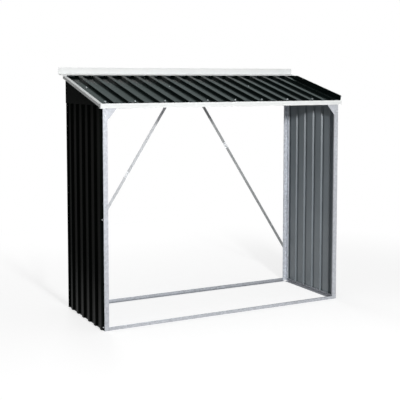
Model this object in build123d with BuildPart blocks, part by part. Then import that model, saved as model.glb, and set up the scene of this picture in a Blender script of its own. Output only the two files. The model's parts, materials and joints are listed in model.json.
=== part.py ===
"""Open-fronted steel log store with ribbed side walls and a ribbed lean-to roof."""

import os
from math import cos, hypot, radians, sin, tan

from build123d import *

# Overall sizes, in millimetres
wall_width = 1740.0
wall_depth = 639.0
post_height = 1369.0
roof_slope = 14.4

# Steel thicknesses and the assembly clearance
frame_gauge = 1.2
sheet_gauge = 0.8
trim_gauge = 1.0
fit = 0.2

# Corner posts: lipped angles
post_leg = 30.0
post_lip = 8.0

# Sills: low channels that stand on the ground
sill_height = 20.0
sill_foot = 30.0
sill_lip = 12.0

# Top rails, wall rails and purlin: channels
front_rail_height = 20.0
back_rail_height = 30.0
rail_flange = 40.0
purlin_height = 28.0
purlin_flange = 24.0
purlin_lip = 8.0
purlin_place_share = 0.57

# Trapezoidal ribs rolled into the wall and roof sheets
roof_rib_pitch = 102.0
wall_rib_pitch = 105.5
rib_crest = 26.0
roof_rib_height = 14.5
wall_rib_height = 11.0
flank_run_share = 0.55
lap_flank_share = 0.6

# Roof sheets, their overhangs and the turned-up right-hand edge
roof_sheet_names = ["roof_left_sheet", "roof_middle_sheet", "roof_right_sheet"]
side_overhang = 18.0
front_overhang = 12.0
rear_overhang = 38.0
sheet_edge_gap = 1.5
first_roof_rib_inset = 100.0
last_roof_rib_clearance = 40.0
edge_upstand = 40.0
edge_run_share = 0.1

# Wall sheets
ribs_on_rear_wall_sheet = 3
first_wall_rib_inset = 37.8
last_wall_rib_clearance = 50.0
wall_ground_gap = 3.0
wall_top_reach = 18.0

# Gables: plain sheets over the wall sheets, folded inwards under the roof
gable_drop = 2.0
gable_flange = 46.0
gable_lip = 10.0

# Fascia, rake trims and rear trim
fascia_height = 30.0
fascia_rise = 10.0
fascia_hem = 4.0
fascia_flange = 24.0
fascia_lip = 9.0
fascia_step = 1.5
fascia_step_share = 0.5
rake_flange = 22.0
rake_face = 16.5
rake_lip = 2.0
rear_flange = 44.0
rear_upstand = 39.5
rear_hem = 6.0
rear_reach = 36.0
cap_width = 26.0
cap_side = 24.0
cap_wall = 1.2

# Front corner gussets
gusset_reach = 62.0
gusset_drop = 74.0
gusset_tail = 20.0
gusset_rail_lap = 14.0

# Flat strap braces across the open back
strap_width = 20.0
strap_gauge = 1.5
strap_foot_height = 250.0
strap_head_spread = 28.0
strap_head_drop = 16.0
left_splice_share = 0.51
right_splice_share = 0.37
splice_length = 46.0

# Places worked out from the sizes above
slope_cos = cos(radians(roof_slope))
slope_sin = sin(radians(roof_slope))
slope_tan = tan(radians(roof_slope))
wall_half = wall_width / 2
roof_half = wall_half + side_overhang
front_reach = front_overhang + fit + cap_wall
frame_front = (front_reach - wall_depth - rear_overhang) / 2
frame_back = frame_front + wall_depth
fascia_front = frame_front - front_overhang
rear_edge = frame_back + rear_overhang
eave_height = post_height + front_rail_height
fascia_seat = trim_gauge + 2 * fit
roof_base_height = eave_height + fascia_seat / slope_cos
wall_top = post_height + wall_top_reach
lap_lift = sheet_gauge + fit
roof_crest = roof_rib_height + sheet_gauge + lap_lift

pieces = []


def keep(builder, name):
    """Label a finished piece and put it on the list of pieces."""
    builder.part.label = name
    pieces.append(builder.part)
    return builder


def roof_height(y):
    """Height of the roof sheets' underside above the ground at depth y."""
    return roof_base_height + (y - frame_front) * slope_tan


def section_plane(y):
    """Plane square to the slope at depth y, looking to the front, X across and Y off the roof."""
    return Plane(
        origin=(0, y, roof_height(y)),
        x_dir=(1, 0, 0),
        z_dir=(0, -slope_cos, -slope_sin),
    )


def folded(plane, points, gauge, length, side=Side.LEFT):
    """Strip of sheet steel folded along a line of points and carried along the plane's normal."""
    with BuildPart() as strip:
        with BuildSketch(plane):
            with BuildLine():
                Polyline(*points)
                offset(amount=gauge, side=side, kind=Kind.INTERSECTION)
            make_face()
        extrude(amount=length)
    return strip


def mirrored(builder):
    """The same piece for the other side of the store."""
    with BuildPart() as twin:
        mirror(builder.part, about=Plane.YZ)
    return twin


def rib(centre, height, lift):
    """Four corners of one rib; a lifted rib lies over the rib of its neighbour."""
    crest_half = rib_crest / 2 + lift * (hypot(1, flank_run_share) - flank_run_share)
    foot_half = crest_half + (height + lift) * flank_run_share
    return [
        (centre - foot_half, 0),
        (centre - crest_half, height + lift),
        (centre + crest_half, height + lift),
        (centre + foot_half, 0),
    ]


def part_way_down(crest, foot):
    """Point on a rib's flank where a lapped sheet ends."""
    return tuple(c + (f - c) * lap_flank_share for c, f in zip(crest, foot))


def ribbed_line(centres, height, start, end):
    """Underside of a ribbed sheet with the given points before and after its ribs.

    A sheet without points before its ribs laps over the last rib of its neighbour, and a sheet
    without points after them ends part of the way down its own last rib, under the next sheet.
    """
    line = []
    for number, centre in enumerate(centres):
        lapping = number == 0 and not start
        line += rib(centre, height, lap_lift if lapping else 0)
    if not start:
        line[0] = part_way_down(line[1], line[0])
    if not end:
        line[-1] = part_way_down(line[-2], line[-1])
    return start + line + end


# Corner posts
post_line = [
    (-wall_half + post_lip, frame_front + post_leg),
    (-wall_half, frame_front + post_leg),
    (-wall_half, frame_front),
    (-wall_half + post_leg, frame_front),
    (-wall_half + post_leg, frame_front + post_lip),
]
back_post_line = [(x, frame_front + frame_back - y) for x, y in post_line]
back_post_height = roof_height(frame_back) - fit - back_rail_height
front_left_post = folded(Plane.XY, post_line, frame_gauge, post_height)
back_left_post = folded(Plane.XY, back_post_line, frame_gauge, back_post_height, Side.RIGHT)
keep(front_left_post, "front_left_post")
keep(mirrored(front_left_post), "front_right_post")
keep(back_left_post, "back_left_post")
keep(mirrored(back_left_post), "back_right_post")

# Sills between the posts
sill_line = [
    (sill_lip, sill_height),
    (0, sill_height),
    (0, 0),
    (sill_foot, 0),
]
long_sill_half = wall_half - post_leg - fit
side_sill_length = wall_depth - 2 * (post_leg + fit)
front_sill = folded(
    Plane((-long_sill_half, frame_front, 0), x_dir=(0, 1, 0), z_dir=(1, 0, 0)),
    sill_line, frame_gauge, 2 * long_sill_half, Side.LEFT,
)
back_sill = folded(
    Plane((long_sill_half, frame_back, 0), x_dir=(0, -1, 0), z_dir=(-1, 0, 0)),
    sill_line, frame_gauge, 2 * long_sill_half, Side.LEFT,
)
left_sill = folded(
    Plane((-wall_half, frame_back - post_leg - fit, 0), x_dir=(1, 0, 0), z_dir=(0, -1, 0)),
    sill_line, frame_gauge, side_sill_length, Side.LEFT,
)
keep(front_sill, "front_sill")
keep(back_sill, "back_sill")
keep(left_sill, "left_sill")
keep(mirrored(left_sill), "right_sill")

# Top rails on the posts, each with its upper flange bent to the roof slope
front_rail_line = [
    (rail_flange, 0),
    (0, 0),
    (0, front_rail_height),
    (rail_flange, front_rail_height + rail_flange * slope_tan),
]
back_rail_line = [
    (rail_flange, 0),
    (0, 0),
    (0, back_rail_height),
    (rail_flange, back_rail_height - rail_flange * slope_tan),
]
front_top_rail = folded(
    Plane((-wall_half, frame_front, post_height), x_dir=(0, 1, 0), z_dir=(1, 0, 0)),
    front_rail_line, frame_gauge, wall_width, Side.RIGHT,
)
back_top_rail = folded(
    Plane((wall_half, frame_back, back_post_height), x_dir=(0, -1, 0), z_dir=(-1, 0, 0)),
    back_rail_line, frame_gauge, wall_width, Side.RIGHT,
)
keep(front_top_rail, "front_top_rail")
keep(back_top_rail, "back_top_rail")

# Wall rails along the tops of the wall sheets
wall_rail_line = [
    (rail_flange, 0),
    (0, 0),
    (0, wall_top_reach),
    (rail_flange, wall_top_reach),
]
left_wall_rail = folded(
    Plane(
        (-wall_half, frame_back - post_leg - fit, post_height),
        x_dir=(1, 0, 0),
        z_dir=(0, -1, 0),
    ),
    wall_rail_line, frame_gauge, wall_depth - post_leg - rail_flange - 2 * fit, Side.RIGHT,
)
keep(left_wall_rail, "left_wall_rail")
keep(mirrored(left_wall_rail), "right_wall_rail")

# Ribbed wall sheets, two to a side, the rear one lapped over the front one and turned out at the back
wall_rib_span = wall_depth - first_wall_rib_inset - last_wall_rib_clearance
wall_rib_count = int(wall_rib_span / wall_rib_pitch) + 1
wall_lap = wall_rib_count - ribs_on_rear_wall_sheet
wall_rib_places = [first_wall_rib_inset + number * wall_rib_pitch for number in range(wall_rib_count)]
left_wall_plane = Plane((-wall_half - fit, 0, wall_ground_gap), x_dir=(0, 1, 0), z_dir=(0, 0, 1))
turned_out_edge = [(frame_back - wall_rib_height * flank_run_share, 0), (frame_back, wall_rib_height)]


def wall_sheets(centres):
    """Front and rear sheet of the left wall, with ribs at the given depths."""
    front_sheet_line = ribbed_line(centres[:wall_lap + 1], wall_rib_height, [(frame_front, 0)], [])
    rear_sheet_line = ribbed_line(centres[wall_lap:], wall_rib_height, [], turned_out_edge)
    length = wall_top - wall_ground_gap
    return {
        "front": folded(left_wall_plane, front_sheet_line, sheet_gauge, length),
        "rear": folded(left_wall_plane, rear_sheet_line, sheet_gauge, length),
    }


# The right wall has the same rib places as the left one, counted from the back
for name, sheet in wall_sheets([frame_front + place for place in wall_rib_places]).items():
    keep(sheet, f"left_wall_{name}_sheet")
for name, sheet in wall_sheets([frame_back - place for place in reversed(wall_rib_places)]).items():
    keep(mirrored(sheet), f"right_wall_{name}_sheet")

# Gables: a sheet outside the wall ribs, its top folded inwards under the roof
wall_crest = wall_rib_height + sheet_gauge + lap_lift
gable_face = wall_half + fit + wall_crest + fit + sheet_gauge
gable_bottom = wall_top - gable_drop
with BuildPart() as left_gable:
    with BuildSketch(Plane.YZ.offset(-gable_face)):
        with BuildLine():
            Polyline(
                (frame_front, gable_bottom),
                (frame_back, gable_bottom),
                (frame_back, roof_height(frame_back) - fit),
                (frame_front, roof_height(frame_front) - fit),
                close=True,
            )
        make_face()
    extrude(amount=sheet_gauge)
    with BuildSketch(section_plane(frame_back - rail_flange - fit)):
        with BuildLine():
            Polyline(
                (-gable_face, -fit),
                (-gable_face + gable_flange, -fit),
                (-gable_face + gable_flange, -fit - gable_lip),
            )
            offset(amount=sheet_gauge, side=Side.RIGHT, kind=Kind.INTERSECTION)
        make_face()
    extrude(amount=(wall_depth - 2 * (rail_flange + fit)) / slope_cos)
keep(left_gable, "left_gable")
keep(mirrored(left_gable), "right_gable")

# Roof purlin between the lips of the gables
purlin_half = gable_face - gable_flange - fit
purlin_y = frame_front + wall_depth * purlin_place_share
purlin_plane = Plane(
    origin=(-purlin_half, purlin_y, roof_height(purlin_y)),
    x_dir=(0, slope_cos, slope_sin),
    z_dir=(1, 0, 0),
)
purlin_line = [
    (purlin_flange, -purlin_lip),
    (purlin_flange, 0),
    (0, 0),
    (0, -purlin_height),
    (purlin_flange, -purlin_height),
    (purlin_flange, -purlin_height + purlin_lip),
]
roof_purlin = folded(purlin_plane, purlin_line, frame_gauge, 2 * purlin_half)
keep(roof_purlin, "roof_purlin")

# Rear trim: a flange on the rib crests and an upstand along the back edge
crest_rise = (roof_crest + fit) / slope_cos
upstand_back = rear_edge - rear_hem
upstand_foot = roof_height(upstand_back) + crest_rise
rear_flange_level = upstand_foot - rear_flange * slope_sin
rear_line = [
    (upstand_back - rear_flange * slope_cos, rear_flange_level),
    (upstand_back, upstand_foot),
    (upstand_back, upstand_foot + rear_upstand),
    (rear_edge, upstand_foot + rear_upstand),
]
rear_trim = folded(
    Plane((-roof_half - rear_reach, 0, 0), x_dir=(0, 1, 0), z_dir=(1, 0, 0)),
    rear_line, trim_gauge, 2 * (roof_half + rear_reach),
)
keep(rear_trim, "rear_trim")

# Ends of the roof sheets and the foot of their turned-up edge
sheet_front = fascia_front + fascia_hem + fit + roof_crest * slope_sin
sheet_rear = rear_edge - trim_gauge - rear_hem - sheet_edge_gap
sheet_half = roof_half - trim_gauge - sheet_edge_gap
edge_foot = sheet_half - edge_upstand * edge_run_share


def cut_level(builder):
    """The same piece with what stands higher than the rear trim's front edge cut away."""
    with BuildPart() as lowered:
        add(builder.part)
        with BuildSketch(Plane.XY.offset(rear_flange_level - fit)):
            with Locations((edge_foot, rear_edge)):
                Rectangle(2 * edge_upstand, 2 * wall_depth)
        extrude(amount=2 * edge_upstand, mode=Mode.SUBTRACT)
    return lowered


# Ribbed roof sheets from left to right, each lapped over the one before it, pans closed at the back
roof_rib_span = 2 * roof_half - first_roof_rib_inset - last_roof_rib_clearance
roof_rib_count = int(roof_rib_span / roof_rib_pitch) + 1
roof_centres = [
    first_roof_rib_inset - roof_half + number * roof_rib_pitch for number in range(roof_rib_count)
]
sheet_count = len(roof_sheet_names)
for number, name in enumerate(roof_sheet_names):
    first = -(-number * roof_rib_count // sheet_count)
    last = -(-(number + 1) * roof_rib_count // sheet_count)
    start = []
    end = []
    if number == 0:
        start = [(-sheet_half, 0)]
    else:
        first -= 1
    if last == roof_rib_count:
        end = [(edge_foot, 0), (sheet_half, edge_upstand)]
    sheet_line = ribbed_line(roof_centres[first:last], roof_rib_height, start, end)
    strip = folded(
        section_plane(sheet_rear), sheet_line, sheet_gauge, (sheet_rear - sheet_front) / slope_cos
    )
    if start:
        stop_line = [(-roof_half + rake_flange + fit, 0)] + sheet_line[1:]
    else:
        stop_line = sheet_line[2:]
    if end:
        stop_line = stop_line[:-1]
    else:
        stop_line = stop_line[:-3]
    with BuildPart() as roof_sheet:
        add(strip.part)
        with BuildSketch(section_plane(sheet_rear)):
            with BuildLine():
                Polyline(
                    *stop_line,
                    (stop_line[-1][0], roof_crest),
                    (stop_line[0][0], roof_crest),
                    close=True,
                )
            make_face()
        extrude(amount=sheet_gauge)
    keep(cut_level(roof_sheet) if end else roof_sheet, name)

# Front fascia: a hemmed, stepped face with a flange under the roof sheets and a lip below
fascia_top = roof_height(fascia_front) + fascia_rise
fascia_back = fascia_front + fascia_hem
fascia_seat_height = roof_height(fascia_back) - fit
fascia_step_height = fascia_top - fascia_height * fascia_step_share
fascia_step_front = fascia_front + fascia_step
fascia_bottom = fascia_top - fascia_height
fascia_line = [
    (fascia_back + fascia_flange, fascia_seat_height + fascia_flange * slope_tan),
    (fascia_back, fascia_seat_height),
    (fascia_back, fascia_top),
    (fascia_front, fascia_top),
    (fascia_front, fascia_step_height),
    (fascia_step_front, fascia_step_height - fascia_step),
    (fascia_step_front, fascia_bottom),
    (fascia_step_front + fascia_lip, fascia_bottom),
]
fascia_strip = folded(
    Plane((-roof_half, 0, 0), x_dir=(0, 1, 0), z_dir=(1, 0, 0)),
    fascia_line, trim_gauge, 2 * roof_half, Side.RIGHT,
)
with BuildPart() as front_fascia:
    add(fascia_strip.part)
    with BuildSketch(Plane.XY.offset(fascia_step_height)):
        with Locations((-roof_half, fascia_back + fit), (roof_half, fascia_back + fit)):
            Rectangle(2 * side_overhang, 2 * fascia_flange, align=(Align.CENTER, Align.MIN))
    extrude(amount=fascia_height, mode=Mode.SUBTRACT)
keep(front_fascia, "front_fascia")

# Rake trims: the left one lies on the outer pan, the right one caps the turned-up edge
rake_level = sheet_gauge + fit
rake_bottom = rake_level - rake_face
rake_side = roof_half - trim_gauge
rake_length = (rear_edge - sheet_front) / slope_cos
left_rake_line = [
    (-roof_half + rake_flange, rake_level),
    (-rake_side, rake_level),
    (-rake_side, rake_bottom),
    (-rake_side + rake_lip, rake_bottom),
]
cap_level = edge_upstand + sheet_gauge + fit
right_rake_line = [
    (rake_side - rake_lip, rake_bottom),
    (rake_side, rake_bottom),
    (rake_side, cap_level),
    (sheet_half - sheet_gauge, cap_level),
]
rake_plane = section_plane(rear_edge)
keep(folded(rake_plane, left_rake_line, trim_gauge, rake_length, Side.RIGHT), "left_rake_trim")
right_rake_trim = folded(rake_plane, right_rake_line, trim_gauge, rake_length, Side.RIGHT)
keep(cut_level(right_rake_trim), "right_rake_trim")

# Corner caps over the joints of fascia and rake trims
with BuildPart() as front_left_corner_cap:
    with BuildSketch(Plane.XY.offset(fascia_bottom)):
        with BuildLine():
            Polyline(
                (-roof_half + cap_width, fascia_front - fit),
                (-roof_half - fit, fascia_front - fit),
                (-roof_half - fit, fascia_front + cap_side),
            )
            offset(amount=cap_wall, side=Side.LEFT, kind=Kind.INTERSECTION)
        make_face()
    extrude(amount=fascia_height)
keep(front_left_corner_cap, "front_left_corner_cap")
keep(mirrored(front_left_corner_cap), "front_right_corner_cap")

# Front corner gussets on the faces of posts and front rail
with BuildPart() as front_left_gusset:
    post_inner = -wall_half + post_leg
    with BuildSketch(Plane.XZ.offset(-frame_front)):
        with BuildLine():
            Polyline(
                (-wall_half, post_height + gusset_rail_lap),
                (-wall_half, post_height - gusset_drop - gusset_tail),
                (post_inner, post_height - gusset_drop - gusset_tail),
                (post_inner, post_height - gusset_drop),
                (post_inner + gusset_reach, post_height),
                (post_inner + gusset_reach, post_height + gusset_rail_lap),
                close=True,
            )
        make_face()
    extrude(amount=frame_gauge)
keep(front_left_gusset, "front_left_gusset")
keep(mirrored(front_left_gusset), "front_right_gusset")

# Strap braces on the back of the frame, each of two lengths and a splice plate
brace_head = Vector(-strap_head_spread, 0, back_post_height + back_rail_height - strap_head_drop)
brace_foot = Vector(-wall_half + post_leg / 2, 0, strap_foot_height)
brace_run = brace_foot - brace_head
brace_plane = Plane(
    origin=(brace_head.X, frame_back, brace_head.Z),
    x_dir=(brace_run.X, 0, brace_run.Z),
    z_dir=(0, 1, 0),
)


def brace_pieces(splice_share):
    """Upper strap, lower strap and splice plate of the left brace, joined at a share of its run."""
    upper_length = brace_run.length * splice_share - fit / 2
    lower_length = brace_run.length - upper_length - fit
    with BuildPart() as upper:
        with BuildSketch(brace_plane):
            Circle(strap_width / 2)
            Rectangle(upper_length, strap_width, align=(Align.MIN, Align.CENTER))
        extrude(amount=strap_gauge)
    with BuildPart() as lower:
        with BuildSketch(brace_plane):
            with Locations((brace_run.length, 0)):
                Circle(strap_width / 2)
                Rectangle(lower_length, strap_width, align=(Align.MAX, Align.CENTER))
        extrude(amount=strap_gauge)
    with BuildPart() as splice:
        with BuildSketch(brace_plane):
            with Locations((upper_length + fit / 2, 0)):
                Rectangle(splice_length, strap_width)
        extrude(amount=-strap_gauge)
    return {"upper": upper, "lower": lower, "splice": splice}


for name, brace in brace_pieces(left_splice_share).items():
    keep(brace, f"left_brace_{name}")
for name, brace in brace_pieces(right_splice_share).items():
    keep(mirrored(brace), f"right_brace_{name}")

os.makedirs("parts", exist_ok=True)
for piece in pieces:
    export_step(piece, f"parts/{piece.label}.step")
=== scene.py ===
"""Finishes, fixings and studio of an open-fronted metal log store, laid out as an add-on."""

import json
import math

import bpy
import numpy as np
from bpy.props import FloatProperty, FloatVectorProperty, IntProperty, PointerProperty
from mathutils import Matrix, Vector
from mathutils.bvhtree import BVHTree

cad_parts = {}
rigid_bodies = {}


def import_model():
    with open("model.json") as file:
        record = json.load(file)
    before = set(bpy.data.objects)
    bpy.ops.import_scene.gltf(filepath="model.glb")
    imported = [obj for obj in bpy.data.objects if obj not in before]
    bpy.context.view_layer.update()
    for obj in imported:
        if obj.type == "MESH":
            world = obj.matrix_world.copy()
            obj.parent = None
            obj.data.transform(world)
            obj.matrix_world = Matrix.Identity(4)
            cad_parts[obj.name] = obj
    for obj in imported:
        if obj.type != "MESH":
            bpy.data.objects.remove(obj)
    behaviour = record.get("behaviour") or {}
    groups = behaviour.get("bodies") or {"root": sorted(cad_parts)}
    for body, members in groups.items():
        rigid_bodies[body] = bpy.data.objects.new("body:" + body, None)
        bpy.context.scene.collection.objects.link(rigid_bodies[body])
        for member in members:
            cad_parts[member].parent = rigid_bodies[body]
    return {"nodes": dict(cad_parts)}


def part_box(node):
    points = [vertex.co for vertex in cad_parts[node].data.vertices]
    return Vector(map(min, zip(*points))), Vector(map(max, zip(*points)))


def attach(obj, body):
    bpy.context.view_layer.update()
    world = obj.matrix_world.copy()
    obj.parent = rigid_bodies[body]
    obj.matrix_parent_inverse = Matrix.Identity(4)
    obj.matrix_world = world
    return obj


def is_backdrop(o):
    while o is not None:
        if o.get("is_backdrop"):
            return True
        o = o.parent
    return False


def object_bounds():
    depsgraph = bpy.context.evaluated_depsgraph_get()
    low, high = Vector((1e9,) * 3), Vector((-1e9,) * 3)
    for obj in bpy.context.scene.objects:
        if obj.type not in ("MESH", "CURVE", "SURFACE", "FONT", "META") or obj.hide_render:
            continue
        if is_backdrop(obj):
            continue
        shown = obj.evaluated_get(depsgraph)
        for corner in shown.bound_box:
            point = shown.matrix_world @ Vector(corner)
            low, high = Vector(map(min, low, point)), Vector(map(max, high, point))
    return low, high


bl_info = {
    "name": "Log store finishes",
    "version": (1, 0, 0),
    "blender": (4, 5, 0),
    "location": "View3D > Sidebar > Log store",
    "description": "Coats the sheets, galvanises the frame and drives the screws of a metal log store",
    "category": "Object",
}

for start_object in list(bpy.data.objects):
    bpy.data.objects.remove(start_object, do_unlink=True)

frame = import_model()
cad_low, cad_high = (np.array(corner, float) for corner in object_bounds())

BODY = "root"
SIDES = (("left", -1.0), ("right", 1.0))
ROOF_SHEETS = ("roof_left_sheet", "roof_middle_sheet", "roof_right_sheet")
FRAME_NODES = (
    "front_sill", "back_sill", "left_sill", "right_sill",
    "front_left_post", "front_right_post",
    "front_top_rail", "back_top_rail", "left_wall_rail", "right_wall_rail", "roof_purlin",
    "front_left_gusset", "front_right_gusset",
)
BACK_POST_NODES = ("back_left_post", "back_right_post")
SPLICE_NODES = tuple(f"{side}_brace_splice" for side, _ in SIDES)
EDGE_TRIM_NODES = ("left_rake_trim", "right_rake_trim", "rear_trim")
FRONT_TRIM_NODES = ("front_fascia", "front_left_corner_cap", "front_right_corner_cap")
RANGE_SOCKETS = ("From Min", "From Max", "To Min", "To Max")

# Places of the fixings, in metres
DOWN = (0.0, 0.0, -1.0)
ROOF_RIBS = 17
RIB_PITCH = 0.102
FIRST_RIB = -0.788
PAN_BESIDE_FIRST_RIB = -0.737
FILLER_FOOT, FILLER_CREST, FILLER_RISE = 0.0206, 0.0127, 0.0142
FILLER_PROBE, SLOPE_PROBE, FILLER_FORWARD = 0.012, 0.2, 0.008
FILLER_CLEARANCE = 0.0001
EAVE_SCREW_INSET = 0.054
EAVE_SCREWS = (-0.833, -0.635, -0.431, -0.125, 0.079, 0.283, 0.487, 0.691, 0.8725)
PURLIN_SCREWS = (-0.833, -0.245, 0.372, 0.8725)
WALL_SCREW_HEIGHTS = (0.022, 0.690)
WALL_SCREW_SHARE = 0.7
OUTSIDE_WALL = 1.2
GUSSET_BOLT_INSET, GUSSET_BOLT_RISE = 0.015, 0.047
STRAP_HALF_WIDTH = 0.010
SPLICE_BOLT_OFFSET = 0.012
FIXING_SPIN = 2.4

# Studio floor, in metres
FLOOR_HALF, FLOOR_LEVEL = 30.0, -0.0004
FLOOR_GREY, FLOOR_LIFT = 0.42, 0.70


def colour_prop(name, description, default):
    """A colour that is kept as linear light."""
    return FloatVectorProperty(name=name, description=description, default=default, size=3,
                               min=0.0, max=1.0, subtype="COLOR")


def length_prop(name, description, default):
    """A length in metres."""
    return FloatProperty(name=name, description=description, default=default, min=0.0,
                         subtype="DISTANCE", unit="LENGTH", precision=4)


class LogStoreFinishes(bpy.types.PropertyGroup):
    """Colours and surface of the store's coatings."""

    # Painted light and shade: roof and walls carry one coating, given as a lighter, greener copy for the
    # roof, which is lit from above, and a darker copy for the walls, which are in shade.
    painted_shade_wall_coat: colour_prop("Wall coating", "Weather side of walls and gables", (0.0026, 0.0034, 0.0028))
    painted_light_roof_coat: colour_prop("Roof coating", "Weather side of the roof sheets", (0.0026, 0.0046, 0.0043))
    backing: colour_prop("Backing coat", "Inner side of the ribbed sheets", (0.218, 0.251, 0.275))
    cut_edge: colour_prop("Cut edge", "Bare steel at the sheared ends of a sheet", (0.32, 0.33, 0.34))
    zinc: colour_prop("Zinc", "Galvanised frame sections", (0.565, 0.58, 0.62))
    zinc_dark: colour_prop("Dark zinc", "The darker crystals of the galvanising", (0.42, 0.43, 0.46))
    # Painted highlight: a brighter copy of the frame zinc for the back posts, standing in for the light their
    # zinc reflects.
    painted_highlight_back_zinc: colour_prop("Back zinc", "The brighter zinc of the back posts", (0.86, 0.90, 0.95))
    strap_zinc: colour_prop("Strap zinc", "The left brace's straps", (0.64, 0.65, 0.67))
    # Painted shade: a darker copy of the strap zinc for the right brace, standing in for the shade on it.
    painted_shade_strap_zinc: colour_prop("Dull zinc", "The right brace's straps, which are greyer", (0.43, 0.44, 0.445))
    splice_zinc: colour_prop("Splice zinc", "Bright splice plates of the braces", (0.92, 0.93, 0.94))
    white: colour_prop("White paint", "Fascia and corner caps", (0.83, 0.845, 0.84))
    # Painted light: a brighter copy of the trim white for the rake and rear trims, which catch less light
    # than the fascia.
    painted_light_edge_white: colour_prop("Edge trim paint", "Rake trims and rear trim", (0.87, 0.885, 0.88))
    dust: colour_prop("Trim dust", "Dust that settles on the pale trims", (0.50, 0.51, 0.49))
    steel: colour_prop("Screw steel", "Plated screw heads and bolts", (0.66, 0.67, 0.69))
    seal: colour_prop("Sealing washer", "Rubber under a roof screw", (0.03, 0.03, 0.032))
    foam: colour_prop("Filler foam", "Fillers in the rib ends at the eave", (0.008, 0.009, 0.009))
    spangle: length_prop("Spangle", "Size of a zinc crystal", 0.011)
    peel: length_prop("Paint texture", "Size of the fine texture in the paint", 0.0022)


class LogStoreFixings(bpy.types.PropertyGroup):
    """Sizes of the screws and bolts."""

    washer: length_prop("Washer", "Diameter of a roof screw's washer", 0.0135)
    head: length_prop("Screw head", "Width of a screw head across its flats", 0.0072)
    head_rise: length_prop("Head height", "Height of a screw head above its washer", 0.0048)
    wall_washer: length_prop("Wall washer", "Diameter of a wall screw's washer", 0.009)
    bolt_washer: length_prop("Bolt washer", "Diameter of a frame bolt's washer", 0.0125)
    bolt_head: length_prop("Bolt head", "Width of a frame bolt across its flats", 0.0088)
    sheet: length_prop("Sheet", "Thickness of the ribbed sheets", 0.0008)
    filler: length_prop("Eave filler", "Length of a foam filler along its rib", 0.012)
    facets: IntProperty(name="Facets", description="Sides of the round parts of a fixing",
                        default=12, min=6, max=48, step=6)


class LogStoreStage(bpy.types.PropertyGroup):
    """Studio light and camera."""

    eye: FloatVectorProperty(name="Camera place", description="Where the camera stands", size=3,
                             default=(-2.7747, -5.2423, 1.5495), subtype="XYZ", unit="LENGTH")
    turn: FloatProperty(name="Camera turn", description="Turn of the view to the right of straight ahead",
                        default=0.4813, subtype="ANGLE", unit="ROTATION")
    dip: FloatProperty(name="Camera dip", description="How far the view looks down",
                       default=0.0800, subtype="ANGLE", unit="ROTATION")
    lens: FloatProperty(name="Lens", description="Focal length in millimetres on a sensor 36 mm wide",
                        default=78.33, min=1.0)
    shift: FloatProperty(name="Lens shift", description="Vertical shift of the picture, in picture widths",
                         default=-0.130)
    key_power: FloatProperty(name="Front light", description="Power of the soft light in front",
                             default=245.0, min=0.0, unit="POWER")
    fill_power: FloatProperty(name="Left light", description="Power of the fill on the left",
                              default=10.0, min=0.0, unit="POWER")
    back_power: FloatProperty(name="Back light", description="Power of the fill behind",
                              default=90.0, min=0.0, unit="POWER")
    top_power: FloatProperty(name="Top light", description="Power of the soft light overhead",
                             default=14.0, min=0.0, unit="POWER")
    sky: colour_prop("Sky", "Colour of the room above, as gloss shows it", (0.84, 1.0, 0.985))
    room_light: FloatProperty(name="Room light", description="Level of the even light of the room",
                              default=0.18, min=0.0)


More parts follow.
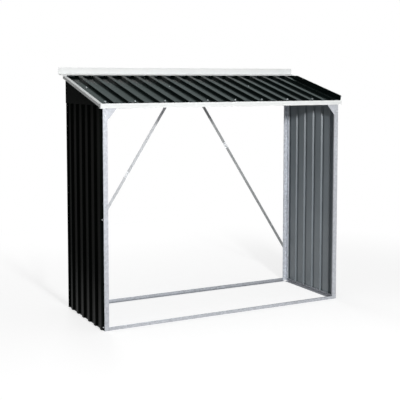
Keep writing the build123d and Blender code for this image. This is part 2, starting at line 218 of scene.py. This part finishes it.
class Finish:
    """A material's nodes while they are put together. Patterns lie on Object coordinates, in metres."""

    def __init__(self, name, **sockets):
        self.material = bpy.data.materials.new(name)
        self.material.use_nodes = True
        self.nodes = self.material.node_tree.nodes
        self.links = self.material.node_tree.links
        self.shader = self.nodes["Principled BSDF"]
        for socket, value in sockets.items():
            self.shader.inputs[socket.replace("_", " ")].default_value = value
        self.place = self.add("ShaderNodeTexCoord").outputs["Object"]
        self.normal = None

    def add(self, kind, **settings):
        node = self.nodes.new(kind)
        for setting, value in settings.items():
            setattr(node, setting, value)
        return node

    def feed(self, socket, value):
        """Links a socket to an output, or writes a plain value into it."""
        if isinstance(value, bpy.types.NodeSocket):
            self.links.new(value, socket)
        else:
            socket.default_value = value

    def stretched(self, stretch):
        """Object coordinates drawn out, so that a pattern runs along one direction."""
        mapping = self.add("ShaderNodeMapping")
        self.feed(mapping.inputs["Vector"], self.place)
        mapping.inputs["Scale"].default_value = stretch
        return mapping.outputs["Vector"]

    def noise(self, size, detail=2.0, rough=0.5, stretch=None):
        """Cloudy noise whose blotches are about one size across."""
        node = self.add("ShaderNodeTexNoise")
        self.feed(node.inputs["Vector"], self.stretched(stretch) if stretch else self.place)
        node.inputs["Scale"].default_value = 1.0 / size
        node.inputs["Detail"].default_value = detail
        node.inputs["Roughness"].default_value = rough
        return node.outputs["Fac"]

    def crystals(self, size):
        """A random level for each cell of a Voronoi pattern."""
        node = self.add("ShaderNodeTexVoronoi", feature="F1")
        self.feed(node.inputs["Vector"], self.place)
        node.inputs["Scale"].default_value = 1.0 / size
        split = self.add("ShaderNodeSeparateColor")
        self.feed(split.inputs["Color"], node.outputs["Color"])
        return split.outputs["Red"]

    def span(self, value, low, high, to_low=0.0, to_high=1.0, smooth=False):
        """Carries a value from one range to another, held at the ends."""
        node = self.add("ShaderNodeMapRange", clamp=True,
                        interpolation_type="SMOOTHSTEP" if smooth else "LINEAR")
        self.feed(node.inputs["Value"], value)
        for socket, number in zip(RANGE_SOCKETS, (low, high, to_low, to_high)):
            node.inputs[socket].default_value = number
        return node.outputs["Result"]

    def sum(self, operation, first, second):
        node = self.add("ShaderNodeMath", operation=operation)
        self.feed(node.inputs[0], first)
        self.feed(node.inputs[1], second)
        return node.outputs["Value"]

    def mix(self, share, first, second):
        """Blends two colours by a share."""
        node = self.add("ShaderNodeMix", data_type="RGBA")
        self.feed(node.inputs["Factor"], share)
        for socket, value in ((node.inputs[6], first), (node.inputs[7], second)):
            self.feed(socket, value if isinstance(value, bpy.types.NodeSocket) else (*value, 1.0))
        return node.outputs[2]

    def facing(self, direction):
        """How far the surface faces a direction: the dot product of its normal and that direction."""
        geometry = self.add("ShaderNodeNewGeometry")
        node = self.add("ShaderNodeVectorMath", operation="DOT_PRODUCT")
        self.feed(node.inputs[0], geometry.outputs["True Normal"])
        node.inputs[1].default_value = direction
        return node.outputs["Value"]

    def dent(self, height, strength, depth):
        """Adds a bump on top of the bumps before it."""
        node = self.add("ShaderNodeBump")
        node.inputs["Strength"].default_value = strength
        node.inputs["Distance"].default_value = depth
        self.feed(node.inputs["Height"], height)
        if self.normal is not None:
            self.feed(node.inputs["Normal"], self.normal)
        self.normal = node.outputs["Normal"]

    def done(self, colour, roughness):
        self.feed(self.shader.inputs["Base Color"], colour)
        self.feed(self.shader.inputs["Roughness"], roughness)
        if self.normal is not None:
            self.feed(self.shader.inputs["Normal"], self.normal)
        return self.material


def sheet_finish(name, settings, coat, outward, along, wall):
    """Coil-coated steel: dark coating on the weather side and slate backing inside. A wall sheet also has
    a lacquered backing and bare steel on its sheared ends."""
    finish = Finish(name, Metallic=0.0, IOR=1.1, Coat_Roughness=0.38)
    drawn = tuple(0.06 if share > 0.5 else 1.0 for share in np.abs(along))
    roll_lines = finish.noise(0.010, 2.0, stretch=drawn)
    cloud = finish.noise(0.35, 4.0, 0.6)
    peel = finish.noise(settings.peel, 1.0)
    outer = finish.span(finish.facing(outward), -0.05, 0.05)
    fade = finish.sum("ADD", finish.span(cloud, 0.35, 0.7), finish.span(roll_lines, 0.45, 0.75, 0.0, 0.35))
    # the weather side takes the copy of the coating it is given: with painted light on the roof, with painted
    # shade on the walls
    weather = finish.mix(fade, tuple(coat), tuple(1.7 * level for level in coat))
    backing = finish.mix(finish.span(cloud, 0.3, 0.7), tuple(settings.backing),
                         tuple(0.86 * level for level in settings.backing))
    colour = finish.mix(outer, backing, weather)
    if wall:
        cut = finish.span(finish.sum("ABSOLUTE", finish.facing(along), 0.0), 0.90, 0.96)
        colour = finish.mix(cut, colour, tuple(settings.cut_edge))
    roughness = finish.sum("ADD", finish.span(outer, 0.0, 1.0, 0.42, 0.14),
                           finish.span(cloud, 0.3, 0.7, 0.0, 0.08))
    if wall:
        finish.feed(finish.shader.inputs["Coat Weight"], finish.span(outer, 0.0, 1.0, 1.0, 0.0))
    finish.dent(cloud, 0.25, 0.0015)
    finish.dent(roll_lines, 0.05, 0.0005)
    finish.dent(peel, 0.06, 0.0003)
    return finish.done(colour, roughness)


def zinc_finish(name, settings, bright, dark):
    """Galvanised steel: crystals of zinc that differ in grey and in gloss, with a faint cloud."""
    finish = Finish(name, Metallic=0.4, Specular_IOR_Level=0.4)
    large = finish.crystals(settings.spangle)
    small = finish.crystals(0.37 * settings.spangle)
    cloud = finish.noise(0.12, 3.0, 0.6)
    fine = finish.sum("ADD", finish.sum("MULTIPLY", small, 0.25), finish.sum("MULTIPLY", cloud, 0.4))
    level = finish.sum("ADD", finish.sum("MULTIPLY", large, 0.5), fine)
    colour = finish.mix(finish.span(level, 0.2, 0.95), tuple(dark), tuple(bright))
    roughness = finish.span(level, 0.2, 0.95, 0.62, 0.48)
    finish.dent(cloud, 0.12, 0.0008)
    finish.dent(large, 0.05, 0.0002)
    return finish.done(colour, roughness)


def paint_finish(name, settings, paint, speckle):
    """Stoved white paint: a fine texture, slight clouding, and specks of dust."""
    finish = Finish(name, Metallic=0.0, IOR=1.2)
    cloud = finish.noise(0.09, 4.0, 0.62)
    specks = finish.noise(0.006, 3.0, 0.7)
    peel = finish.noise(settings.peel, 1.0)
    dusty = finish.sum("ADD", finish.span(specks, 0.52, 0.72, 0.0, speckle),
                       finish.span(cloud, 0.45, 0.75, 0.0, 0.5 * speckle))
    colour = finish.mix(dusty, tuple(paint), tuple(settings.dust))
    roughness = finish.span(cloud, 0.3, 0.7, 0.42, 0.56)
    finish.dent(cloud, 0.15, 0.0008)
    finish.dent(peel, 0.05, 0.0003)
    return finish.done(colour, roughness)


def screw_finish(name, settings):
    """Plated steel heads on dark rubber: the share of rubber is kept in the mesh's own attribute."""
    finish = Finish(name, Specular_IOR_Level=0.5)
    rubber = finish.add("ShaderNodeAttribute", attribute_name="rubber").outputs["Fac"]
    grain = finish.noise(0.0015, 2.0)
    cloud = finish.noise(0.05, 2.0)
    plate = finish.mix(finish.span(cloud, 0.35, 0.65), tuple(settings.steel),
                       tuple(0.8 * level for level in settings.steel))
    colour = finish.mix(rubber, plate, tuple(settings.seal))
    finish.feed(finish.shader.inputs["Metallic"], finish.span(rubber, 0.0, 1.0, 0.7, 0.0))
    finish.dent(grain, 0.08, 0.0002)
    return finish.done(colour, finish.span(rubber, 0.0, 1.0, 0.34, 0.7))


def foam_finish(name, settings):
    """Closed-cell foam: matt, with a fine pattern of cells."""
    finish = Finish(name, Metallic=0.0, IOR=1.1)
    cells = finish.crystals(0.0016)
    cloud = finish.noise(0.02, 2.0)
    colour = finish.mix(cells, tuple(settings.foam), tuple(1.6 * level for level in settings.foam))
    finish.dent(cells, 0.2, 0.0003)
    return finish.done(colour, finish.span(cloud, 0.3, 0.7, 0.84, 0.96))


def give(node, material):
    """Puts one finish on a CAD node through its object's material slots."""
    piece = frame["nodes"][node]
    if not piece.material_slots:
        raise RuntimeError(f"{node} has no material slot")
    for material_slot in piece.material_slots:
        material_slot.material = material


def unit(vectors):
    """Vectors divided by their lengths."""
    vectors = np.asarray(vectors, float)
    return vectors / np.linalg.norm(vectors, axis=-1, keepdims=True)


class Carrier:
    """The surfaces of a few CAD nodes, on which fixings are seated."""

    def __init__(self, *nodes):
        depsgraph = bpy.context.evaluated_depsgraph_get()
        self.nodes = nodes
        self.trees = [BVHTree.FromObject(frame["nodes"][node], depsgraph) for node in nodes]

    def seat(self, start, direction):
        """First point, and its normal, that a straight line from start meets on these nodes."""
        line = Vector(direction).normalized()
        hits = [tree.ray_cast(Vector(start), line) for tree in self.trees]
        hits = [hit for hit in hits if hit[0] is not None]
        if not hits:
            raise RuntimeError(f"no surface of {self.nodes} from {tuple(start)}")
        point, normal, _, _ = min(hits, key=lambda hit: hit[3])
        if normal.dot(line) > 0.0:
            normal = -normal
        return np.array(point), np.array(normal)


def hexagon(angles, share):
    """Radius factor that turns a circle into the hexagon round it: one over the cosine of the angle from
    the nearest flat's middle, blended with 1 by share."""
    from_flat = (angles + math.pi / 6) % (math.pi / 3) - math.pi / 6
    return 1.0 + share * (1.0 / np.cos(from_flat) - 1.0)


def fixing_mesh(name, seats, rows, facets, spins):
    """Fixings as one mesh. A row is (radius, height, hexagon share, rubber share). A point is its seat plus
    height along the seat's normal plus radius times the hexagon factor round it. The rows run from the
    washer's foot to the rim of the head, and a single point closes each end."""
    points, normals = (np.array(column, float) for column in zip(*seats))
    normals = unit(normals)
    helper = np.where(np.abs(normals[:, 2:3]) > 0.9, [[1.0, 0.0, 0.0]], [[0.0, 0.0, 1.0]])
    across = unit(np.cross(helper, normals))
    up = np.cross(normals, across)
    radius, height, share, rubber = np.array(rows, float).T
    angles = 2.0 * math.pi * np.arange(facets) / facets
    turned = angles[None, :] + np.asarray(spins, float)[:, None]
    factor = hexagon(angles[None, :], share[:, None])
    reach = radius[:, None] * factor
    ring = (np.cos(turned)[:, None, :, None] * across[:, None, None, :]
            + np.sin(turned)[:, None, :, None] * up[:, None, None, :])
    grid = (points[:, None, None, :] + height[None, :, None, None] * normals[:, None, None, :]
            + reach[None, :, :, None] * ring)
    count, levels = len(points), len(rows)
    tips = points + height[-1] * normals
    feet = points + height[0] * normals
    index = np.arange(count * levels * facets).reshape(count, levels, facets)
    low, high = index[:, :-1, :], index[:, 1:, :]
    quads = np.stack([low, np.roll(low, -1, 2), np.roll(high, -1, 2), high], -1).reshape(-1, 4)
    tip = np.broadcast_to(index.size + np.arange(count)[:, None], (count, facets))
    foot = tip + count
    top, base = index[:, -1, :], index[:, 0, :]
    crown = np.stack([top, np.roll(top, -1, 1), tip], -1).reshape(-1, 3)
    sole = np.stack([np.roll(base, -1, 1), base, foot], -1).reshape(-1, 3)
    mesh = bpy.data.meshes.new(name)
    mesh.from_pydata(np.concatenate([grid.reshape(-1, 3), tips, feet]), [],
                     quads.tolist() + crown.tolist() + sole.tolist())
    level = np.concatenate([np.tile(np.repeat(rubber, facets), count),
                            np.full(count, rubber[-1]), np.full(count, rubber[0])])
    mesh.attributes.new("rubber", "FLOAT", "POINT").data.foreach_set("value", level.astype(np.float32))
    return mesh


def filler_mesh(name, centres, start, along, normal, section, length):
    """Eave fillers as one mesh. A point is the start, plus its rib's centre across the roof, plus the
    section's own reach across, plus the section's height along the roof's normal, plus 0 or the length up
    the slope."""
    across = np.array((1.0, 0.0, 0.0))
    reach, height = np.array(section, float).T
    outline = reach[:, None] * across + height[:, None] * normal
    ends = np.array((0.0, length))[:, None] * along
    grid = (start + np.asarray(centres, float)[:, None, None, None] * across
            + ends[None, :, None, :] + outline[None, None, :, :])
    index = np.arange(grid.size // 3).reshape(grid.shape[:3])
    front, back = index[:, 0, :], index[:, 1, :]
    sides = np.stack([front, back, np.roll(back, -1, 1), np.roll(front, -1, 1)], -1).reshape(-1, 4)
    mesh = bpy.data.meshes.new(name)
    mesh.from_pydata(grid.reshape(-1, 3), [], np.concatenate([sides, front, back[:, ::-1]]).tolist())
    return mesh


def place_fixings(name, seats, rows, facets, material):
    """Makes one piece of like fixings, each turned by its own amount, and lets it ride on the frame."""
    spins = FIXING_SPIN * np.arange(len(seats))
    piece = bpy.data.objects.new(name, fixing_mesh(name, seats, rows, facets, spins))
    bpy.context.scene.collection.objects.link(piece)
    piece.data.materials.append(material)
    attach(piece, BODY)


def washer_screw_rows(washer, head, rise):
    """A domed steel washer on rubber, with a flanged hexagon head in its middle."""
    half, flat = 0.5 * washer, 0.5 * head
    return (
        (0.90 * half, -0.0003, 0.0, 1.0),
        (0.94 * half, 0.0009, 0.0, 1.0),
        (half, 0.0010, 0.0, 0.0),
        (0.97 * half, 0.0019, 0.0, 0.0),
        (1.32 * flat, 0.0024, 0.0, 0.0),
        (1.28 * flat, 0.0031, 0.0, 0.0),
        (flat, 0.0033, 1.0, 0.0),
        (flat, 0.0024 + 0.86 * rise, 1.0, 0.0),
        (0.86 * flat, 0.0024 + rise, 0.0, 0.0),
    )


def bolt_rows(washer, head):
    """A flat washer and a plain hexagon head."""
    half, flat = 0.5 * washer, 0.5 * head
    return (
        (half, -0.0003, 0.0, 0.0),
        (half, 0.0011, 0.0, 0.0),
        (0.97 * half, 0.0013, 0.0, 0.0),
        (flat, 0.0013, 1.0, 0.0),
        (flat, 0.0049, 1.0, 0.0),
        (0.88 * flat, 0.0055, 0.0, 0.0),
    )


class LOGSTORE_OT_coat_sheets(bpy.types.Operator):
    """Coats the roof sheets, wall sheets and gables"""

    bl_idname = "logstore.coat_sheets"
    bl_label = "Coat the sheets"

    def execute(self, context):
        settings = context.scene.logstore_finishes
        low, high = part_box("left_rake_trim")
        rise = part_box("back_left_post")[1].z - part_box("front_left_post")[1].z
        slope = tuple(unit((0.0, high.y - low.y, rise)))
        # painted light: the roof takes the lighter copy of the coating
        roof = sheet_finish("roof_coating", settings, settings.painted_light_roof_coat, (0.0, 0.0, 1.0), slope, False)
        for node in ROOF_SHEETS:
            give(node, roof)
        for side, sign in SIDES:
            # painted shade: the walls take the darker copy of the coating
            wall = sheet_finish(f"{side}_wall_coating", settings, settings.painted_shade_wall_coat,
                                (sign, 0.0, 0.0), (0.0, 0.0, 1.0), True)
            for part in ("wall_front_sheet", "wall_rear_sheet", "gable"):
                give(f"{side}_{part}", wall)
        return {"FINISHED"}


class LOGSTORE_OT_galvanise_frame(bpy.types.Operator):
    """Gives posts, sills, rails, purlin and gussets their zinc"""

    bl_idname = "logstore.galvanise_frame"
    bl_label = "Galvanise the frame"

    def execute(self, context):
        settings = context.scene.logstore_finishes
        zinc = zinc_finish("frame_zinc", settings, settings.zinc, settings.zinc_dark)
        for node in FRAME_NODES:
            give(node, zinc)
        # painted highlight: the back posts take a brighter copy of the zinc
        bright = zinc_finish("back_post_painted_highlight_zinc", settings, settings.painted_highlight_back_zinc, settings.zinc)
        for node in BACK_POST_NODES:
            give(node, bright)
        return {"FINISHED"}


class LOGSTORE_OT_finish_straps(bpy.types.Operator):
    """Gives the brace straps and their splice plates their zinc"""

    bl_idname = "logstore.finish_straps"
    bl_label = "Finish the straps"

    def execute(self, context):
        settings = context.scene.logstore_finishes
        # painted shade: the right brace takes the darker copy of the strap zinc
        for side, colour in (("left", settings.strap_zinc), ("right", settings.painted_shade_strap_zinc)):
            zinc = zinc_finish(f"{side}_strap_zinc", settings, colour, [0.72 * level for level in colour])
            for part in ("upper", "lower"):
                give(f"{side}_brace_{part}", zinc)
        bright = zinc_finish("splice_zinc", settings, settings.splice_zinc, settings.strap_zinc)
        for node in SPLICE_NODES:
            give(node, bright)
        return {"FINISHED"}


class LOGSTORE_OT_paint_trims(bpy.types.Operator):
    """Paints the fascia, corner caps, rake trims and rear trim"""

    bl_idname = "logstore.paint_trims"
    bl_label = "Paint the trims"

    def execute(self, context):
        settings = context.scene.logstore_finishes
        front = paint_finish("front_white", settings, settings.white, 0.10)
        # painted light: the rake and rear trims take the brighter copy of the white
        edge = paint_finish("painted_light_edge_white", settings, settings.painted_light_edge_white, 0.20)
        for node in FRONT_TRIM_NODES:
            give(node, front)
        for node in EDGE_TRIM_NODES:
            give(node, edge)
        return {"FINISHED"}


class LOGSTORE_OT_fit_eave_fillers(bpy.types.Operator):
    """Fits the foam fillers that close the rib ends at the eave"""

    bl_idname = "logstore.fit_eave_fillers"
    bl_label = "Fit the eave fillers"

    def execute(self, context):
        fixings, finishes = context.scene.logstore_fixings, context.scene.logstore_finishes
        roof = Carrier(*ROOF_SHEETS)
        eave = min(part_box(node)[0].y for node in ROOF_SHEETS)
        low, high = (roof.seat((PAN_BESIDE_FIRST_RIB, eave + reach, cad_high[2]), DOWN)
                     for reach in (FILLER_PROBE, SLOPE_PROBE))
        along, normal = unit(high[0] - low[0]), unit(low[1])
        start = low[0] - (fixings.sheet + FILLER_CLEARANCE) * normal - FILLER_FORWARD * along
        start[0] = 0.0
        section = ((-FILLER_FOOT, 0.0), (FILLER_FOOT, 0.0),
                   (FILLER_CREST, FILLER_RISE), (-FILLER_CREST, FILLER_RISE))
        centres = FIRST_RIB + RIB_PITCH * np.arange(ROOF_RIBS)
        mesh = filler_mesh("eave_fillers", centres, start, along, normal, section, fixings.filler)
        piece = bpy.data.objects.new("eave_fillers", mesh)
        context.scene.collection.objects.link(piece)
        piece.data.materials.append(foam_finish("filler_foam", finishes))
        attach(piece, BODY)
        return {"FINISHED"}


class LOGSTORE_OT_drive_roof_screws(bpy.types.Operator):
    """Drives the screws that hold the roof sheets to the rail and the purlin"""

    bl_idname = "logstore.drive_roof_screws"
    bl_label = "Drive the roof screws"

    def execute(self, context):
        fixings, finishes = context.scene.logstore_fixings, context.scene.logstore_finishes
        roof = Carrier(*ROOF_SHEETS)
        rail_low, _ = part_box("front_top_rail")
        purlin_low, purlin_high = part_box("roof_purlin")
        rows = (
            (rail_low.y + EAVE_SCREW_INSET, EAVE_SCREWS),
            (0.5 * (purlin_low.y + purlin_high.y), PURLIN_SCREWS),
        )
        seats = [roof.seat((x, y, cad_high[2] + 0.1), DOWN) for y, places in rows for x in places]
        steel = screw_finish("roof_screw_steel", finishes)
        shape = washer_screw_rows(fixings.washer, fixings.head, fixings.head_rise)
        place_fixings("roof_screws", seats, shape, fixings.facets, steel)
        return {"FINISHED"}


class LOGSTORE_OT_drive_wall_screws(bpy.types.Operator):
    """Drives the screws that hold the wall sheets to the front posts"""

    bl_idname = "logstore.drive_wall_screws"
    bl_label = "Drive the wall screws"

    def execute(self, context):
        fixings, finishes = context.scene.logstore_fixings, context.scene.logstore_finishes
        seats = []
        for side, sign in SIDES:
            wall = Carrier(f"{side}_wall_front_sheet", f"{side}_wall_rear_sheet")
            front = 0.5 * sum(corner.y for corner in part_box(f"front_{side}_post"))
            seats += [wall.seat((OUTSIDE_WALL * sign, front, height), (-sign, 0.0, 0.0))
                      for height in WALL_SCREW_HEIGHTS]
        steel = screw_finish("wall_screw_steel", finishes)
        shape = washer_screw_rows(fixings.wall_washer, WALL_SCREW_SHARE * fixings.head,
                                  WALL_SCREW_SHARE * fixings.head_rise)
        place_fixings("wall_screws", seats, shape, fixings.facets, steel)
        return {"FINISHED"}


class LOGSTORE_OT_tighten_bolts(bpy.types.Operator):
    """Tightens the bolts of the gussets, the strap ends and the splice plates"""

    bl_idname = "logstore.tighten_bolts"
    bl_label = "Tighten the bolts"

    def execute(self, context):
        fixings, finishes = context.scene.logstore_fixings, context.scene.logstore_finishes
        seats = []
        for side, sign in SIDES:
            low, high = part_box(f"front_{side}_gusset")
            gusset = Carrier(f"front_{side}_gusset")
            outer = low.x if sign < 0.0 else high.x
            bolt = (outer - GUSSET_BOLT_INSET * sign, -1.0, low.z + GUSSET_BOLT_RISE)
            seats.append(gusset.seat(bolt, (0.0, 1.0, 0.0)))
            upper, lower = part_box(f"{side}_brace_upper"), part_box(f"{side}_brace_lower")
            strap = Carrier(f"{side}_brace_upper", f"{side}_brace_lower")
            head_x = (upper[1].x if sign < 0.0 else upper[0].x) + STRAP_HALF_WIDTH * sign
            foot_x = (lower[0].x if sign < 0.0 else lower[1].x) - STRAP_HALF_WIDTH * sign
            head = np.array((head_x, upper[1].z - STRAP_HALF_WIDTH))
            foot = np.array((foot_x, lower[0].z + STRAP_HALF_WIDTH))
            seats += [strap.seat((x, 1.0, z), (0.0, -1.0, 0.0)) for x, z in (head, foot)]
            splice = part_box(f"{side}_brace_splice")
            middle = np.array((0.5 * (splice[0].x + splice[1].x), 0.5 * (splice[0].z + splice[1].z)))
            step = SPLICE_BOLT_OFFSET * unit(foot - head)
            plate = Carrier(f"{side}_brace_splice")
            seats += [plate.seat((x, 0.0, z), (0.0, 1.0, 0.0)) for x, z in (middle - step, middle + step)]
        steel = screw_finish("bolt_steel", finishes)
        place_fixings("frame_bolts", seats, bolt_rows(fixings.bolt_washer, fixings.bolt_head),
                      fixings.facets, steel)
        return {"FINISHED"}


class LOGSTORE_OT_set_stage(bpy.types.Operator):
    """Lays the floor, hangs the lights and sets up the camera"""

    bl_idname = "logstore.set_stage"
    bl_label = "Set the stage"

    def execute(self, context):
        stage = context.scene.logstore_stage
        context.scene.view_settings.view_transform = "Standard"
        self.lay_floor(context)
        self.light_room(context, stage)
        self.hang_lights(context, stage)
        self.set_camera(context, stage)
        return {"FINISHED"}

    def lay_floor(self, context):
        """A flat square, as a function of two parameters, that is white to the camera away from shadows."""
        side = np.array((-FLOOR_HALF, FLOOR_HALF))
        x, y = np.meshgrid(side, side)
        mesh = bpy.data.meshes.new("studio_floor")
        corners = np.stack([x, y, np.full_like(x, FLOOR_LEVEL)], -1).reshape(-1, 3)
        mesh.from_pydata(corners, [], [(0, 1, 3, 2)])
        floor = bpy.data.objects.new("studio_floor", mesh)
        context.scene.collection.objects.link(floor)
        floor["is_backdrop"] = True
        finish = Finish("floor_white")
        finish.nodes.remove(finish.shader)
        path = finish.add("ShaderNodeLightPath")
        away = finish.add("ShaderNodeVectorMath", operation="LENGTH")
        finish.feed(away.inputs[0], finish.place)
        far = finish.span(away.outputs["Value"], 1.6, 3.4, smooth=True)
        paint = finish.add("ShaderNodeBsdfDiffuse")
        paint.inputs["Color"].default_value = (FLOOR_GREY, FLOOR_GREY, FLOOR_GREY, 1.0)
        lift = finish.add("ShaderNodeEmission")
        lifted = finish.sum("MULTIPLY", path.outputs["Is Camera Ray"], FLOOR_LIFT)
        finish.feed(lift.inputs["Strength"], lifted)
        both = finish.add("ShaderNodeAddShader")
        finish.feed(both.inputs[0], paint.outputs["BSDF"])
        finish.feed(both.inputs[1], lift.outputs["Emission"])
        plain = finish.add("ShaderNodeEmission")
        blend = finish.add("ShaderNodeMixShader")
        across = finish.add("ShaderNodeSeparateXYZ")
        finish.feed(across.inputs["Vector"], finish.place)
        mirrored = finish.span(across.outputs["X"], -1.4, -0.6, 0.2, 1.0)
        level = finish.sum("ADD", path.outputs["Is Camera Ray"],
                           finish.sum("MULTIPLY", path.outputs["Is Glossy Ray"], mirrored))
        finish.feed(plain.inputs["Strength"], level)
        share = finish.sum("MAXIMUM", path.outputs["Is Glossy Ray"],
                           finish.sum("MULTIPLY", path.outputs["Is Camera Ray"], far))
        finish.feed(blend.inputs["Fac"], share)
        finish.feed(blend.inputs[1], both.outputs["Shader"])
        finish.feed(blend.inputs[2], plain.outputs["Emission"])
        output = next(node for node in finish.nodes if node.type == "OUTPUT_MATERIAL")
        finish.feed(output.inputs["Surface"], blend.outputs["Shader"])
        mesh.materials.append(finish.material)

    def light_room(self, context, stage):
        """An even room: white to the camera, softer for light, and darker on the left and right for gloss."""
        world = bpy.data.worlds.new("studio_room")
        context.scene.world = world
        world.use_nodes = True
        nodes, links = world.node_tree.nodes, world.node_tree.links
        background = nodes["Background"]

        def maths(operation, first, second):
            node = nodes.new("ShaderNodeMath")
            node.operation = operation
            for socket, value in zip(node.inputs, (first, second)):
                if isinstance(value, bpy.types.NodeSocket):
                    links.new(value, socket)
                else:
                    socket.default_value = value
            return node.outputs["Value"]

        def ramp(value, low, high, to_low=0.0, to_high=1.0):
            node = nodes.new("ShaderNodeMapRange")
            node.interpolation_type = "SMOOTHSTEP"
            links.new(value, node.inputs["Value"])
            for socket, number in zip(RANGE_SOCKETS, (low, high, to_low, to_high)):
                node.inputs[socket].default_value = number
            return node.outputs["Result"]

        path = nodes.new("ShaderNodeLightPath")
        towards = nodes.new("ShaderNodeTexCoord").outputs["Generated"]
        split = nodes.new("ShaderNodeSeparateXYZ")
        links.new(towards, split.inputs["Vector"])
        from_left = maths("ADD", split.outputs["X"], maths("MULTIPLY", split.outputs["Z"], 0.35))
        beside = maths("ADD", split.outputs["X"], maths("MULTIPLY", split.outputs["Y"], 0.5))
        before = maths("MULTIPLY", split.outputs["Y"], -1.0)
        right = ramp(beside, -0.12, 0.25)
        shade = maths("MULTIPLY", maths("MULTIPLY", right, ramp(before, 0.2, 0.6)), 0.6)
        ahead = maths("MULTIPLY", maths("SUBTRACT", 1.0, right), ramp(before, 0.80, 0.97))
        window = maths("MULTIPLY", ahead, 3.0)
        gloss = maths("MULTIPLY", ramp(from_left, -0.15, 0.50, 0.08, 1.0),
                      maths("ADD", maths("SUBTRACT", 1.0, shade), window))
        seen = maths("MAXIMUM", path.outputs["Is Camera Ray"], path.outputs["Is Transmission Ray"])
        glossy = maths("MULTIPLY", path.outputs["Is Glossy Ray"], gloss)
        other = maths("SUBTRACT", 1.0, maths("MAXIMUM", seen, path.outputs["Is Glossy Ray"]))
        level = maths("ADD", maths("MAXIMUM", seen, glossy), maths("MULTIPLY", other, stage.room_light))
        links.new(level, background.inputs["Strength"])
        tint = nodes.new("ShaderNodeMix")
        tint.data_type = "RGBA"
        links.new(maths("MULTIPLY", path.outputs["Is Glossy Ray"], ramp(split.outputs["Z"], 0.10, 0.35)),
                  tint.inputs["Factor"])
        tint.inputs[6].default_value = (1.0, 1.0, 1.0, 1.0)
        tint.inputs[7].default_value = (*stage.sky, 1.0)
        links.new(tint.outputs[2], background.inputs["Color"])

    def hang_lights(self, context, stage):
        """A soft light in front, fills on the left and behind, and a larger light overhead."""
        for name, power, size, place, aim in (
            ("front_light", stage.key_power, 0.5, (-0.9, -5.5, 2.4), (0.0, 0.0, 0.9)),
            ("left_light", stage.fill_power, 1.5, (-3.6, 0.3, 3.2), (-0.9, 0.0, 1.2)),
            ("back_light", stage.back_power, 1.6, (0.6, 5.0, 2.6), (0.0, 0.0, 0.9)),
            ("top_light", stage.top_power, 3.2, (0.3, -0.9, 4.8), (0.0, 0.0, 0.8)),
        ):
            data = bpy.data.lights.new(name, "AREA")
            data.shape = "DISK"
            data.size = size
            data.energy = power
            lamp = bpy.data.objects.new(name, data)
            lamp.location = place
            lamp.rotation_euler = (Vector(aim) - Vector(place)).to_track_quat("-Z", "Y").to_euler()
            context.scene.collection.objects.link(lamp)

    def set_camera(self, context, stage):
        """A camera that looks along its turn and dip, with a vertical lens shift."""
        data = bpy.data.cameras.new("view")
        data.sensor_width = 36.0
        data.lens = stage.lens
        data.shift_y = stage.shift
        data.clip_end = 200.0
        camera = bpy.data.objects.new("view", data)
        camera.location = stage.eye
        look = Vector((math.sin(stage.turn) * math.cos(stage.dip), math.cos(stage.turn) * math.cos(stage.dip),
                       -math.sin(stage.dip)))
        camera.rotation_euler = look.to_track_quat("-Z", "Y").to_euler()
        context.scene.collection.objects.link(camera)
        context.scene.camera = camera


OPERATORS = (
    LOGSTORE_OT_coat_sheets,
    LOGSTORE_OT_galvanise_frame,
    LOGSTORE_OT_finish_straps,
    LOGSTORE_OT_paint_trims,
    LOGSTORE_OT_fit_eave_fillers,
    LOGSTORE_OT_drive_roof_screws,
    LOGSTORE_OT_drive_wall_screws,
    LOGSTORE_OT_tighten_bolts,
    LOGSTORE_OT_set_stage,
)


class LOGSTORE_PT_sidebar(bpy.types.Panel):
    """Lists the steps that dress the log store"""

    bl_idname = "LOGSTORE_PT_sidebar"
    bl_label = "Log store"
    bl_space_type = "VIEW_3D"
    bl_region_type = "UI"
    bl_category = "Log store"

    def draw(self, context):
        for step in OPERATORS:
            self.layout.operator(step.bl_idname)
        scene = context.scene
        for group in (scene.logstore_finishes, scene.logstore_fixings, scene.logstore_stage):
            column = self.layout.column()
            for name in group.__annotations__:
                column.prop(group, name)


CLASSES = (LogStoreFinishes, LogStoreFixings, LogStoreStage, *OPERATORS, LOGSTORE_PT_sidebar)


def register():
    for cls in CLASSES:
        bpy.utils.register_class(cls)
    bpy.types.Scene.logstore_finishes = PointerProperty(type=LogStoreFinishes)
    bpy.types.Scene.logstore_fixings = PointerProperty(type=LogStoreFixings)
    bpy.types.Scene.logstore_stage = PointerProperty(type=LogStoreStage)


def unregister():
    del bpy.types.Scene.logstore_stage
    del bpy.types.Scene.logstore_fixings
    del bpy.types.Scene.logstore_finishes
    for cls in reversed(CLASSES):
        bpy.utils.unregister_class(cls)


def main():
    """Registers the add-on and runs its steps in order."""
    register()
    bpy.ops.logstore.coat_sheets()
    bpy.ops.logstore.galvanise_frame()
    bpy.ops.logstore.finish_straps()
    bpy.ops.logstore.paint_trims()
    bpy.ops.logstore.fit_eave_fillers()
    bpy.ops.logstore.drive_roof_screws()
    bpy.ops.logstore.drive_wall_screws()
    bpy.ops.logstore.tighten_bolts()
    bpy.ops.logstore.set_stage()


if __name__ == "__main__":
    main()
